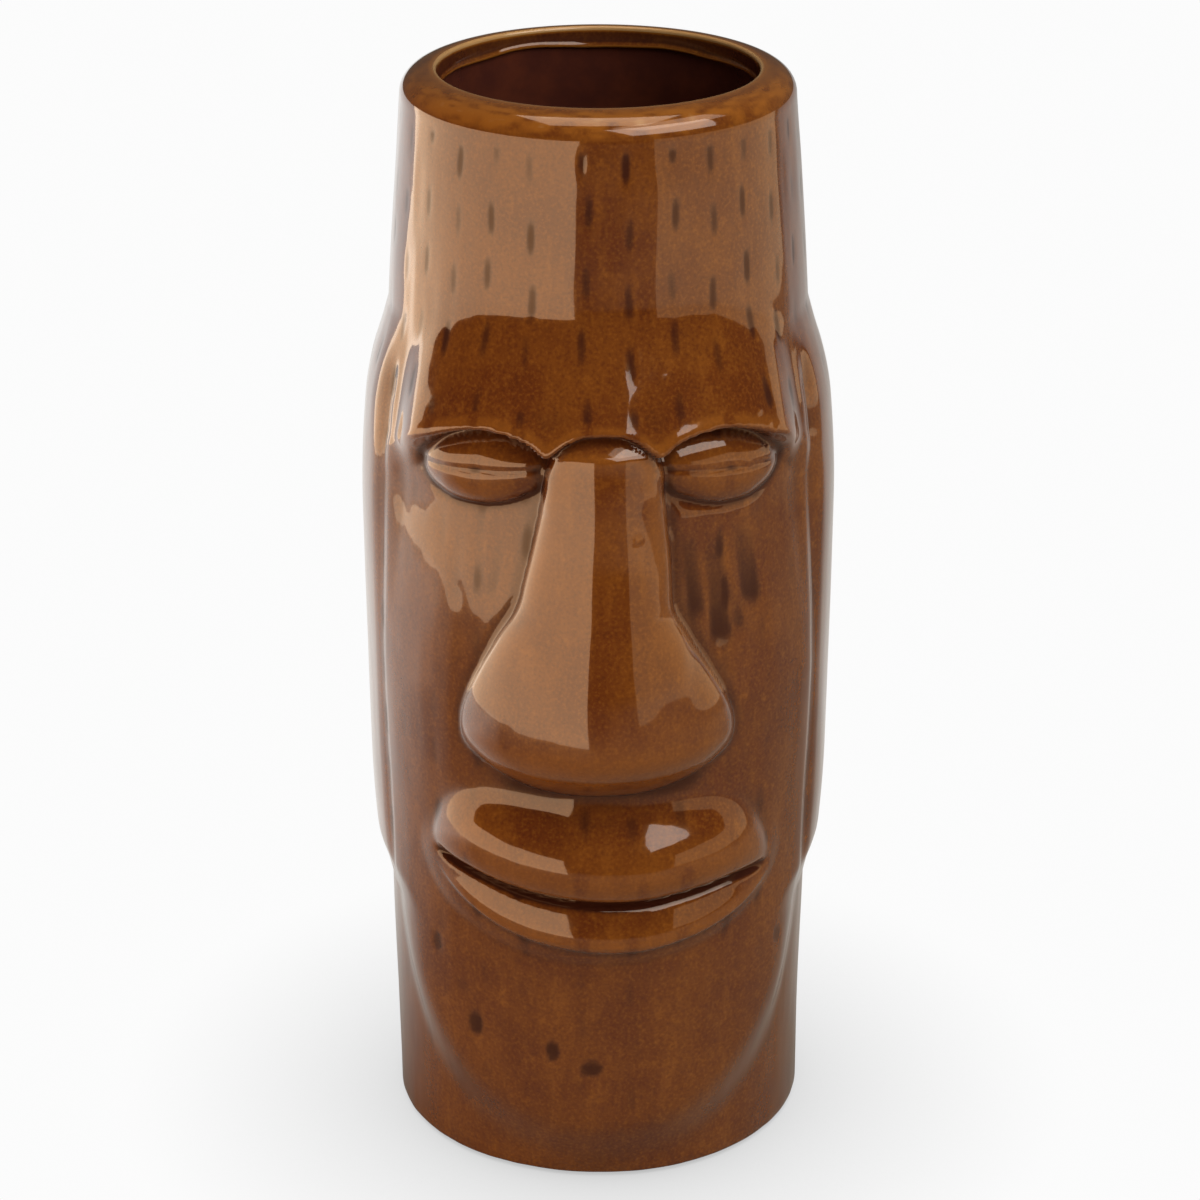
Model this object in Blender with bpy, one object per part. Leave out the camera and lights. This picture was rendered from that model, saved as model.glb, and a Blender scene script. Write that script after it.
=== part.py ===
"""Tiki mug: a slip-cast ceramic head with a brown glaze outside, a liner glaze inside and a dry foot.

Metres, +Z up. The face looks along -Y, with +X on the right as one faces it. The origin lies on the surface
that the mug stands on, at the middle of the box around the mug; the nose reaches further forward than the
back of the head reaches back, so the cup's own axis stands a little behind the origin.

The outer surface is one relief: a radius for every direction around the cup's axis and every height.
Directions are in degrees from straight ahead, positive towards +X. Radii and heights are in millimetres
inside the relief functions and become metres when a mesh is made.
"""

import bmesh
import bpy
import numpy as np

MM = 0.001

# Driving sizes, mm
HEIGHT = 180.0
MOUTH_RADIUS = 25.2
SHOULDER_DROP = 4.2
SHOULDER_FULLNESS = 2.2
LIP_ROUND = 0.5
COLLAR = 176.5
GLAZE = 0.5
GAP = 0.3
WALL = 4.8
FLOOR = 6.5
FLOOR_CORNER = 8.0
FOOT_OUTER = 32.4
FOOT_INNER = 27.0
FOOT_RECESS = 1.8
GLAZE_LINE = 1.0

# Arc length of one degree on the face, mm
DEGREE = 0.637

# The plain column under the face: height, radius
COLUMN = ((0, 34.3), (20, 34.45), (42, 35.0), (80, 35.2), (115, 34.8), (140, 33.6), (158, 32.4), (178, 30.9))

# How far the ears stand out from the column: height, amount
EAR_PROUD = (
    (42, 0.0), (46, 0.9), (50, 2.05), (54, 2.4), (72, 2.85), (87, 3.15),
    (101, 3.35), (115, 3.55), (124, 3.3), (129, 3.0), (134, 2.2), (139, 0.9), (143, 0.0),
)
EAR_FRONT = 66.0
EAR_BLEND = 8.5
EAR_LINE = 0.55
EAR_BACK = 112.0
EAR_HOLLOW = 1.0

# How far the face stands out from the column: height, amount
FACE_PROUD = (
    (2, 2.4), (10, 2.9), (40, 2.8), (60, 2.5), (74, 3.1), (86, 3.5), (95, 3.3), (105, 2.9), (113, 2.9),
    (120, 3.4), (126, 4.5), (130, 5.2), (131.4, 5.3), (132.4, 5.06), (134, 4.48), (138, 3.15),
    (143, 1.6), (149, 0.15), (153, 0.0),
)
TEMPLE_DROP = 5.0
TEMPLE_FLAT = 0.6
BROW_TOP = 131.6
JAW_ANGLE = 66.0
JAW_CENTRE = 46.0
JAW_DROP = 42.0

# The features sit a little to +X of the middle, as a hand-made model has them
FEATURE_SHIFT = 1.2

# The step under the brow: direction, height; and the eye sockets' surface: height, distance from the column
BROW_LINE = (
    (0, 132.4), (5, 132.0), (9, 130.6), (13, 128.6), (17, 130.4),
    (23, 131.7), (29, 131.9), (36, 130.8), (42, 129.3), (48, 127.8), (54, 126.2), (60, 124.6), (66, 123.0),
)
BROW_STEP = 1.8
SOCKET_LEVEL = (
    (84, 3.5), (95, 3.05), (105, 2.25), (113, 1.5), (119, 0.95), (125, 0.5), (131, 0.2),
)

# Eyelids
EYE_CENTRE = 31.6
EYE_HALF_ANGLE = 18.4
EYE_SLIT = 124.8
EYE_SLIT_SLOPE = 0.06
EYE_UPPER = 6.2
EYE_LOWER = 6.0
EYE_PROUD = 2.4

# Nose: height against half angle, height against how far it stands out, and height against its lean
NOSE_HALF = (
    (70, 26.0), (74, 30.0), (78, 33.0), (83, 34.0), (88, 31.8), (94, 27.2), (99, 23.0),
    (102.5, 19.8), (104.5, 18.8), (108, 18.2), (113, 17.3), (121, 15.6), (127, 14.2),
    (130, 11.4), (132.5, 5.5),
)
NOSE_PROUD = (
    (72, 9.2), (82, 9.2), (90, 8.1), (100, 6.5), (110, 4.9), (120, 3.1), (128, 0.8), (132, 0.0),
)
NOSE_LEAN = ((74, -0.3), (83, -0.3), (102, -0.9), (113, 0.6), (127, 1.7))
RIDGE_ROUND = 2.9
RIDGE_SLOPE = 0.42
NOSE_TURN = 82.3
NOSE_UNDER = 72.3

# Mouth: direction against the height of the line between the lips
MOUTH_LINE = (
    (-44, 58.0), (-31, 56.6), (-18, 54.9), (-9, 54.0), (0, 53.4), (10, 53.4), (20, 54.2),
    (33, 55.0), (48, 54.6),
)
MUZZLE_CENTRE = 58.0
MUZZLE_ANGLE = 51.0
MUZZLE_HALF = 16.4
MUZZLE_PROUD = 1.9

# Lips: share of the lip's height away from the line, distance out from the face
UPPER_LIP = (
    (0.0, 2.0), (0.05, 3.3), (0.12, 4.6), (0.20, 5.3), (0.29, 5.5), (0.37, 5.3), (0.45, 4.8), (0.54, 4.0),
    (0.62, 3.1), (0.70, 2.2), (0.78, 1.4), (0.86, 0.8), (0.95, 0.4), (1.05, 0.12), (1.15, 0.0),
)
LOWER_LIP = (
    (0.0, 1.3), (0.08, 1.75), (0.2, 2.25), (0.4, 2.85), (0.72, 3.5), (0.86, 3.3), (0.96, 2.2), (1.0, 1.4),
    (1.1, 0.0),
)
LIP_HEIGHT = 19.0
LIP_DEPTH = 7.8
LIP_ANGLE = 47.0
MOUTH_GROOVE = 1.5

# Mesh grid: directions over one half, and heights up the outer wall
HALF_DIRECTIONS = (
    0, 5, 9.5, 13, 16.5, 21, 26, 31, 36, 41, 46, 51, 56, 61, 66, 71, 77, 88, 99, 109,
    116, 130, 147, 163, 180,
)
INNER_LEVELS = (171.0, 164.0, 150.0, 128.0, 106.0, 84.0, 62.0, 36.0, 18.0)
LEVELS = (
    GLAZE_LINE, 4.5, 8, 14, 22, 32, 40.5, 43.5, 47, 50.5, 53.4, 56, 59.5, 63, 66.5, 70, 73, 76,
    79.5, 83, 89, 95, 101, 107, 113, 117, 120.5, 123.5, 126, 128.3, 130.5, 132.7, 136, 140, 145,
    152, 164, HEIGHT - SHOULDER_DROP,
)


def ease(low, high, value):
    """0 below low, 1 above high, smooth between."""
    step = np.clip((value - low) / (high - low), 0.0, 1.0)
    return step * step * (3.0 - 2.0 * step)


def curve(value, points):
    """A smooth curve through points, held level past both ends."""
    at, level = np.array(points, dtype=float).T
    slope = np.diff(level) / np.diff(at)
    tangent = np.concatenate([slope[:1], (slope[:-1] + slope[1:]) / 2.0, slope[-1:]])
    value = np.clip(value, at[0], at[-1])
    i = np.clip(np.searchsorted(at, value, side="right") - 1, 0, len(at) - 2)
    span = at[i + 1] - at[i]
    t = (value - at[i]) / span
    start = (1 + 2 * t) * (1 - t) ** 2 * level[i] + t * (1 - t) ** 2 * span * tangent[i]
    end = t * t * (3 - 2 * t) * level[i + 1] + t * t * (t - 1) * span * tangent[i + 1]
    return start + end


def join(first, second, radius):
    """The larger of two surfaces, with a fillet where they meet."""
    share = np.clip(0.5 + 0.5 * (first - second) / radius, 0.0, 1.0)
    return second + (first - second) * share + radius * share * (1.0 - share) - radius / 4


def bell(value, width):
    return np.exp(-((value / width) ** 2))


def ear(angle, z):
    side = np.abs(angle)
    proud = curve(z, EAR_PROUD)
    front = ease(EAR_FRONT - EAR_BLEND, EAR_FRONT + EAR_BLEND, side)
    slab = proud * front * (1 - ease(EAR_BACK - 5, EAR_BACK + 4, side))
    hollow = np.clip(1 - ((side - 97) / 8) ** 2 - ((z - 98) / 26) ** 2, 0, 1)
    line = EAR_LINE * bell((side - EAR_FRONT) * DEGREE, 1.3) * ease(1.0, 2.6, proud)
    return slab - EAR_HOLLOW * hollow - line


def temple(angle, z):
    """Share of the brow's bulge that is left towards the sides of the head."""
    return 1 - TEMPLE_FLAT * ease(46, 63, np.abs(angle)) * ease(112, 126, z)


def face_plate(angle, z):
    """The raised face, which narrows to the rounded edge of the jaw near the foot."""
    side = np.abs(angle) / JAW_ANGLE
    drop = np.clip(JAW_CENTRE - z, 0, None) / JAW_DROP
    edge = np.hypot(side, drop)
    brow = curve(np.abs(angle - FEATURE_SHIFT), BROW_LINE)
    lower = TEMPLE_DROP * ease(28, 66, np.abs(angle)) * ease(118, 134, z)
    dip = np.clip(BROW_TOP - brow - lower, 0, None) * ease(112, 126, z) * (1 - ease(0, 12, z - brow))
    bulge = curve(z + lower + dip, FACE_PROUD) * temple(angle, z)
    beside_ear = ease(0, 2.0, curve(z, EAR_PROUD))
    jaw = ease(0, 0.4, drop)
    start = 0.74 + 0.13 * beside_ear + 0.06 * jaw
    stop = 1.13 - 0.05 * jaw
    return bulge * (1 - ease(start, stop, edge))


def socket(angle, z):
    """The step in under the brow, which fades out down the cheek."""
    side = np.abs(angle - FEATURE_SHIFT)
    brow = curve(side, BROW_LINE)
    soft = ease(40, 56, side)
    under = 1 - ease(brow - BROW_STEP - 5 * soft, brow + 0.4 + soft, z)
    depth = np.clip(curve(z, FACE_PROUD) * temple(angle, z) - curve(z, SOCKET_LEVEL), 0, None)
    return -depth * under * ease(84, 90, z) * (1 - ease(58, 70, side))


def eye_spot(angle, z):
    """Where a point is on the eye: across and up as shares of the lids' size, and height over the slit."""
    side = np.abs(angle - FEATURE_SHIFT)
    across = (side - EYE_CENTRE) / EYE_HALF_ANGLE
    rise = z - EYE_SLIT + EYE_SLIT_SLOPE * (side - EYE_CENTRE)
    up = rise / np.where(rise > 0, EYE_UPPER, EYE_LOWER)
    return across, up, rise


def eye(angle, z):
    """Two closed lids with a slit between them."""
    across, up, rise = eye_spot(angle, z)
    dome = np.clip(1 - (across ** 2 + up ** 2) ** 1.5, 0, 1)
    return EYE_PROUD * dome


def nose(angle, z, cheek):
    """How far a straight ridge with steep sides stands over the cheek; it turns under at the nostrils."""
    off = (angle - FEATURE_SHIFT) * DEGREE
    side = np.abs(angle - curve(z, NOSE_LEAN)) / curve(z, NOSE_HALF)
    flank = np.hypot(RIDGE_ROUND, RIDGE_SLOPE * off) - RIDGE_ROUND
    wall = np.clip(1 - side ** 7, 0, 1) ** 0.7
    sag = 6.5 * np.clip(side, 0, 1) ** 3
    below = np.clip((NOSE_TURN - z) / (NOSE_TURN - NOSE_UNDER - sag), 0, 1)
    under = (1 - below ** 1.7) ** 0.8
    top = np.sqrt(np.clip((133.0 - z) / 4.0, 0, 1))
    return np.clip(curve(z, NOSE_PROUD) - flank - cheek, 0, None) * wall * under * top


def muzzle(angle, z):
    """The oval that carries both lips, the lips on it and the line between them."""
    side = np.abs(angle - FEATURE_SHIFT)
    line = curve(angle, MOUTH_LINE)
    edge = (side / MUZZLE_ANGLE) ** 2 + ((z - MUZZLE_CENTRE) / MUZZLE_HALF) ** 2
    crisp = np.clip(1 - edge ** 2, 0, 1) ** 0.8
    oval = MUZZLE_PROUD * (crisp + (crisp ** 3 - crisp) * ease(56, 68, z))
    width = np.clip(1 - (side / LIP_ANGLE) ** 3.4, 0, 1)
    lip_top = LIP_HEIGHT * np.sqrt(np.clip(1 - (side / LIP_ANGLE) ** 4, 1e-3, 1))
    upper = curve((z - line) / lip_top, UPPER_LIP) * (z > line)
    lower = curve((line - z) / (1 + LIP_DEPTH * width), LOWER_LIP) * (z <= line)
    groove = MOUTH_GROOVE * bell(z - line - 0.25, 0.85) * (1 - ease(38, 46, side))
    return join(oval, (upper + lower) * width, 0.4) - groove


def outer_radius(angle, z):
    """Radius of the glazed surface of the head, in mm."""
    plain = curve(z, COLUMN) + ear(angle, z) + face_plate(angle, z)
    cheek = socket(angle, z) + eye(angle, z)
    return plain + cheek + join(nose(angle, z, cheek), muzzle(angle, z), 0.5)


def inner_radius(angle, z):
    """Radius of the clay's inside, which follows the head softly as slip does in a mould."""
    side = np.abs(angle)
    fullness = 4.5 * bell(side, 24) * ease(56, 84, z) * (1 - ease(84, 128, z))
    front = 1.4 * (1 - ease(40, 70, side)) * ease(8, 24, z) * (1 - ease(120, 150, z))
    body = curve(z, COLUMN) - WALL + front
    neck = MOUTH_RADIUS + GLAZE + GAP
    return neck + (body + fullness - neck) * (1 - ease(166, 177, z))


def directions():
    half = np.array(HALF_DIRECTIONS, dtype=float)
    return np.concatenate([-half[-2:0:-1], half])


ANGLES = directions()


def outer_rings(inset):
    """Rings up the outer wall and over the rounded rim, inset from the glazed surface."""
    rings = [(outer_radius(ANGLES, z) - inset, z) for z in LEVELS]
    crest = outer_radius(ANGLES, LEVELS[-1])
    land = MOUTH_RADIUS + LIP_ROUND
    for turn in np.radians((20, 40, 60, 78)):
        out = np.cos(turn) ** (2 / SHOULDER_FULLNESS)
        up = np.sin(turn) ** (2 / SHOULDER_FULLNESS)
        radius = land + (crest - land) * out - inset * np.cos(turn)
        rings.append((radius, LEVELS[-1] + SHOULDER_DROP * up - inset * np.sin(turn)))
    return rings


def inner_rings(inset):
    """Rings down the inside from below the rim to the corner of the floor, inset into the cup."""
    rings = []
    for z in INNER_LEVELS:
        rings.append((inner_radius(ANGLES, z) - inset, z))
    corner = inner_radius(ANGLES, INNER_LEVELS[-1]) - inset
    for turn in np.radians((40, 75)):
        radius = corner - FLOOR_CORNER * (1 - np.cos(turn))
        rings.append((radius, FLOOR + inset + FLOOR_CORNER * (1 - np.sin(turn))))
    return rings


def ring(radius, z):
    return (np.full(ANGLES.shape, float(radius)), z)


def span(shape, first, second, i, j):
    """Two triangles between neighbouring points of two rings, or one where a ring is a single point.

    The diagonal always runs from the lower ring's point i to the upper ring's point j, so the walls of
    nested bodies fold the same way and keep their gap.
    """
    if len(first) == 1 and len(second) == 1:
        return
    if len(first) == 1:
        shape.faces.new((first[0], second[j], second[i]))
    elif len(second) == 1:
        shape.faces.new((first[i], first[j], second[0]))
    elif first[0].co.z <= second[0].co.z:
        shape.faces.new((first[i], first[j], second[j]))
        shape.faces.new((first[i], second[j], second[i]))
    else:
        shape.faces.new((first[i], first[j], second[i]))
        shape.faces.new((first[j], second[j], second[i]))


def close_rings(name, rings, colour, roughness):
    """A closed body through rings; a ring of radius 0 becomes a single point."""
    shape = bmesh.new()
    around = np.radians(ANGLES)
    loops = []
    for radius, z in rings:
        if np.max(radius) == 0.0:
            loops.append([shape.verts.new((0.0, AXIS_Y, z * MM))])
            continue
        x = radius * np.sin(around) * MM
        y = AXIS_Y - radius * np.cos(around) * MM
        loops.append([shape.verts.new((x[i], y[i], z * MM)) for i in range(len(x))])
    for first, second in zip(loops, loops[1:] + loops[:1]):
        for i in range(len(ANGLES)):
            span(shape, first, second, i, (i + 1) % len(ANGLES))
    bmesh.ops.recalc_face_normals(shape, faces=shape.faces)
    mesh = bpy.data.meshes.new(name)
    shape.to_mesh(mesh)
    shape.free()
    mesh.shade_smooth()
    mesh.set_sharp_from_angle(angle=np.radians(50))
    mesh.materials.append(plain_material(name, colour, roughness))
    piece = bpy.data.objects.new(name, mesh)
    bpy.context.scene.collection.objects.link(piece)
    return piece


def plain_material(name, colour, roughness):
    material = bpy.data.materials.new(name)
    material.use_nodes = True
    shader = material.node_tree.nodes["Principled BSDF"]
    shader.inputs["Base Color"].default_value = (*colour, 1.0)
    shader.inputs["Roughness"].default_value = roughness
    shader.inputs["Metallic"].default_value = 0.0
    return material


def clay_body():
    """The fired casting: wall, floor and foot ring, with a shallow recess under the floor."""
    inset = GLAZE + GAP
    rings = [ring(0, FOOT_RECESS), ring(FOOT_INNER - 0.8, FOOT_RECESS)]
    rings += [ring(FOOT_INNER, 0), ring(FOOT_OUTER, 0)]
    rings += outer_rings(inset)
    rings += [ring(MOUTH_RADIUS + inset, HEIGHT - inset), ring(MOUTH_RADIUS + inset, COLLAR)]
    rings += inner_rings(0.0)
    rings += [ring(0, FLOOR)]
    return close_rings("clay_body", rings, (0.62, 0.50, 0.38), 0.8)


def exterior_glaze():
    """The brown coat from just above the foot, over the shoulder, to the edge of the mouth."""
    edge = HEIGHT - GLAZE - GAP - GAP
    rings = outer_rings(0.0)
    rings += [ring(MOUTH_RADIUS + LIP_ROUND, HEIGHT), ring(MOUTH_RADIUS, HEIGHT - LIP_ROUND)]
    rings += [ring(MOUTH_RADIUS, edge)]
    rings += [ring(MOUTH_RADIUS + GLAZE, edge), ring(MOUTH_RADIUS + GLAZE, HEIGHT - GLAZE)]
    rings += list(reversed(outer_rings(GLAZE)))
    return close_rings("exterior_glaze", rings, (0.20, 0.085, 0.03), 0.08)


def liner_glaze():
    """The dark coat that was poured in and out again, on the inside wall and floor."""
    edge = HEIGHT - 2 * GLAZE - 2 * GAP - GAP
    rings = [ring(0, FLOOR + GAP)] + list(reversed(inner_rings(GAP)))
    rings += [ring(MOUTH_RADIUS + GLAZE, COLLAR), ring(MOUTH_RADIUS + GLAZE, edge), ring(MOUTH_RADIUS, edge)]
    rings += [ring(MOUTH_RADIUS, COLLAR)]
    rings += inner_rings(GAP + GLAZE) + [ring(0, FLOOR + GAP + GLAZE)]
    return close_rings("liner_glaze", rings, (0.06, 0.022, 0.012), 0.12)


def base_glaze():
    """The disc of glaze left in the recess, cut off from the rest when the foot was wiped."""
    radius = FOOT_INNER - 1.8
    top = FOOT_RECESS - GAP
    rings = [ring(0, top - GLAZE), ring(radius, top - GLAZE), ring(radius, top), ring(0, top)]
    return close_rings("base_glaze", rings, (0.20, 0.085, 0.03), 0.1)


def axis_offset():
    """How far behind the middle of the whole box the cup's axis stands."""
    facing = np.cos(np.radians(ANGLES))
    reach = np.array([outer_radius(ANGLES, z) * facing for z in LEVELS])
    return (reach.max() + reach.min()) / 2 * MM


for old in list(bpy.data.objects):
    bpy.data.objects.remove(old, do_unlink=True)

AXIS_Y = axis_offset()
clay_body()
exterior_glaze()
liner_glaze()
base_glaze()
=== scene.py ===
"""Looks of the tiki mug: fine relief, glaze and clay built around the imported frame.

Metres, +Z up, the face looks along -Y. The relief is written in millimetres and in degrees from straight
ahead, positive towards +X, and becomes metres when a mesh is made.
"""

import bmesh
import bpy
import numpy as np
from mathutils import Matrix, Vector


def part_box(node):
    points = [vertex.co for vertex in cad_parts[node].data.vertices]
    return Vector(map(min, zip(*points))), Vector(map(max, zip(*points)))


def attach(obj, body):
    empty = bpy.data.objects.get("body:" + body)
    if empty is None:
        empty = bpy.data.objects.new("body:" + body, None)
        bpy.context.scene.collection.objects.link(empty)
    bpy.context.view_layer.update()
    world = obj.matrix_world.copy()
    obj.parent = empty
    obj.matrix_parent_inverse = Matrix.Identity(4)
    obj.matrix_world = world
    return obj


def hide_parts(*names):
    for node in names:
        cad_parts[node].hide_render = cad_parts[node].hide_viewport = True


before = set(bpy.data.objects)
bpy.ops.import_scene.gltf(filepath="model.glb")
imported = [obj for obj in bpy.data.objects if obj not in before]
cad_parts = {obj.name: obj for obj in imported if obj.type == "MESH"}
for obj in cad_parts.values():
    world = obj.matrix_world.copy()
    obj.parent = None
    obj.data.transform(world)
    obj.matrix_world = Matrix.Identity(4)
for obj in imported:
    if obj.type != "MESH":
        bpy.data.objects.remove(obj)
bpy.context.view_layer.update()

MM = 0.001
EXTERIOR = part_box("exterior_glaze")
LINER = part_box("liner_glaze")
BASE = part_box("base_glaze")

# A degree around the cup is this many mm, at its mean radius
MEAN_RADIUS = 36.5
DEGREE = np.radians(MEAN_RADIUS)

# The cup's axis is the middle of the round disc under the floor
AXIS_Y = (BASE[0].y + BASE[1].y) / 2
HEIGHT = EXTERIOR[1].z / MM
COAT_GAP = 0.3
RECESS_TOP = BASE[1].z / MM + COAT_GAP
FLOOR = LINER[0].z / MM

# Rim, wall and foot, mm
MOUTH_RADIUS = 25.2
SHOULDER_DROP = 4.2
SHOULDER_FULLNESS = 2.2
SHOULDER = HEIGHT - SHOULDER_DROP
LIP_ROUND = 0.5
LIP_FOLD = 3.2
WALL = 4.8
LINER_COAT = 0.8
FOOT_OUTER = 32.4
FOOT_INNER = 27.0
GLAZE_LINE = 0.8

# Curves are pairs of (height, mm), unless their heading says otherwise
COLUMN = ((0, 34.3), (20, 34.45), (42, 35.0), (80, 35.2), (115, 34.8), (140, 33.6), (158, 32.4), (178, 30.9))

# Ears
EAR_PROUD = (
    (42, 0.0), (46, 0.9), (50, 2.05), (54, 2.4), (72, 2.85), (87, 3.15),
    (101, 3.35), (115, 3.55), (124, 3.3), (129, 3.0), (134, 2.2), (139, 0.9), (143, 0.0),
)
EAR_FRONT = 66.0
EAR_BLEND = 8.5
EAR_LINE = 0.55
EAR_BACK = 112.0
EAR_HOLLOW = 1.0
EAR_HOLLOW_ANGLE = 97
EAR_HOLLOW_HALF_ANGLE = 8
EAR_HOLLOW_CENTRE = 98
EAR_HOLLOW_HALF = 26

# Raised face, brow and sockets; the brow's line is (angle, height)
FACE_PROUD = (
    (2, 2.4), (10, 2.9), (40, 2.8), (60, 2.5), (74, 3.1), (86, 3.5), (95, 3.3), (105, 2.9), (113, 2.9),
    (120, 3.4), (126, 4.5), (130, 5.2), (131.4, 5.3), (132.4, 5.06), (134, 4.48), (138, 3.15),
    (143, 1.6), (149, 0.15), (153, 0.0),
)
FEATURE_SHIFT = 1.2
TEMPLE_DROP = 5.0
TEMPLE_FLAT = 0.6
TEMPLE_TURN = (46, 63)
BROW_SWELL = (112, 126)
BROW_TOP = 131.6
BROW_STEP = 0.5
BROW_LINE = (
    (0, 132.4), (5, 132.0), (9, 130.6), (13, 128.6), (17, 130.4), (23, 131.7), (29, 131.9),
    (36, 130.8), (42, 129.3), (48, 127.8), (54, 126.2), (60, 124.6), (66, 123.0),
)
SOCKET_LEVEL = (
    (84, 3.5), (95, 3.05), (105, 2.25), (113, 1.5), (119, 0.95), (125, 0.5), (131, 0.2),
)
JAW_ANGLE = 66.0
JAW_CENTRE = 46.0
JAW_DROP = 42.0

# Closed eyes
EYE_CENTRE = 31.6
EYE_HALF_ANGLE = 18.4
EYE_SLIT = 124.8
EYE_SLIT_SLOPE = 0.06
EYE_UPPER = 6.2
EYE_LOWER = 6.0
EYE_PROUD = 2.4

# Nose; its half width and lean are (height, degrees)
NOSE_HALF = (
    (70, 26.0), (74, 30.0), (78, 33.0), (83, 34.0), (88, 31.8), (94, 27.2), (99, 23.0),
    (102.5, 19.8), (104.5, 18.8), (108, 18.2), (113, 17.3), (121, 15.6), (127, 14.2),
    (130, 11.4), (132.5, 5.5),
)
NOSE_PROUD = (
    (72, 9.2), (82, 9.2), (90, 8.1), (100, 6.5), (110, 4.9), (120, 3.1), (128, 0.8), (132, 0.0),
)
NOSE_LEAN = ((74, -0.3), (83, -0.3), (102, -0.9), (113, 0.6), (127, 1.7))
NOSE_TOP = 133.0
NOSE_TOP_ROUND = 4.0
NOSE_TURN = 82.3
NOSE_UNDER = 72.3
NOSTRIL_SAG = 6.5
RIDGE_ROUND = 2.9
RIDGE_SLOPE = 0.42

# Mouth; its line is (angle, height), and the lips' sections are (share of the lip's height, mm)
MOUTH_LINE = (
    (-44, 58.0), (-31, 56.6), (-18, 54.9), (-9, 54.0), (0, 53.4), (10, 53.4), (20, 54.2),
    (33, 55.0), (48, 54.6),
)
MUZZLE_CENTRE = 58.0
MUZZLE_ANGLE = 51.0
MUZZLE_HALF = 16.4
MUZZLE_PROUD = 1.9
LIP_HEIGHT = 19.0
LIP_DEPTH = 7.8
LIP_ANGLE = 47.0
UPPER_LIP = (
    (0.0, 2.0), (0.05, 3.3), (0.12, 4.6), (0.20, 5.3), (0.29, 5.5), (0.37, 5.3), (0.45, 4.8), (0.54, 4.0),
    (0.62, 3.1), (0.70, 2.2), (0.78, 1.4), (0.86, 0.8), (0.95, 0.4), (1.05, 0.12), (1.15, 0.0),
)
LOWER_LIP = (
    (0.0, 1.3), (0.08, 1.75), (0.2, 2.25), (0.4, 2.85), (0.72, 3.5), (0.86, 3.3), (0.96, 2.2), (1.0, 1.4),
    (1.1, 0.0),
)
MOUTH_GROOVE = 1.5


def ease(low, high, value):
    """0 below low, 1 above high, smooth between."""
    step = np.clip((value - low) / (high - low), 0.0, 1.0)
    return step * step * (3.0 - 2.0 * step)


def curve(value, points):
    """A smooth curve through points, held level past both ends."""
    at, level = np.array(points, dtype=float).T
    slope = np.diff(level) / np.diff(at)
    tangent = np.concatenate([slope[:1], (slope[:-1] + slope[1:]) / 2.0, slope[-1:]])
    value = np.clip(value, at[0], at[-1])
    i = np.clip(np.searchsorted(at, value, side="right") - 1, 0, len(at) - 2)
    span = at[i + 1] - at[i]
    t = (value - at[i]) / span
    start = (1 + 2 * t) * (1 - t) ** 2 * level[i] + t * (1 - t) ** 2 * span * tangent[i]
    end = t * t * (3 - 2 * t) * level[i + 1] + t * t * (t - 1) * span * tangent[i + 1]
    return start + end


def join(first, second, radius):
    """The larger of two surfaces, blended where they are close; it meets both where they cross."""
    share = np.clip(0.5 + 0.5 * (first - second) / radius, 0.0, 1.0)
    return second + (first - second) * share + radius * share * (1.0 - share) - radius / 4


def bell(value, width):
    """1 at 0, falling away to either side."""
    return np.exp(-((value / width) ** 2))


def ear(angle, z):
    """A long slab on each side with a line along its front edge and a shallow hollow in it."""
    side = np.abs(angle)
    proud = curve(z, EAR_PROUD)
    front = ease(EAR_FRONT - EAR_BLEND, EAR_FRONT + EAR_BLEND, side)
    slab = proud * front * (1 - ease(EAR_BACK - 5, EAR_BACK + 4, side))
    across = (side - EAR_HOLLOW_ANGLE) / EAR_HOLLOW_HALF_ANGLE
    along = (z - EAR_HOLLOW_CENTRE) / EAR_HOLLOW_HALF
    hollow = np.clip(1 - across ** 2 - along ** 2, 0, 1)
    line = EAR_LINE * bell((side - EAR_FRONT) * DEGREE, 1.3) * ease(1.0, 2.6, proud)
    return slab - EAR_HOLLOW * hollow - line


def temple(angle, z):
    """Share of the brow's bulge that is left towards the sides of the head."""
    return 1 - TEMPLE_FLAT * ease(*TEMPLE_TURN, np.abs(angle)) * ease(*BROW_SWELL, z)


def face_plate(angle, z):
    """The raised face, which narrows to the rounded edge of the jaw near the foot."""
    side = np.abs(angle) / JAW_ANGLE
    drop = np.clip(JAW_CENTRE - z, 0, None) / JAW_DROP
    edge = np.hypot(side, drop)
    brow = curve(np.abs(angle - FEATURE_SHIFT), BROW_LINE)
    lower = TEMPLE_DROP * ease(28, JAW_ANGLE, np.abs(angle)) * ease(118, 134, z)
    dip = np.clip(BROW_TOP - brow - lower, 0, None) * ease(*BROW_SWELL, z) * (1 - ease(0, 12, z - brow))
    bulge = curve(z + lower + dip, FACE_PROUD) * temple(angle, z)
    beside_ear = ease(0, 2.0, curve(z, EAR_PROUD))
    jaw = ease(0, 0.4, drop)
    start = 0.74 + 0.13 * beside_ear + 0.06 * jaw
    stop = 1.13 - 0.05 * jaw
    return bulge * (1 - ease(start, stop, edge))


def socket(angle, z):
    """The step in under the brow, which fades out down the cheek."""
    side = np.abs(angle - FEATURE_SHIFT)
    brow = curve(side, BROW_LINE)
    soft = ease(40, 56, side)
    under = 1 - ease(brow - BROW_STEP - 5 * soft, brow + 0.4 + soft, z)
    depth = np.clip(curve(z, FACE_PROUD) * temple(angle, z) - curve(z, SOCKET_LEVEL), 0, None)
    return -depth * under * ease(84, 90, z) * (1 - ease(58, 70, side))


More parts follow.
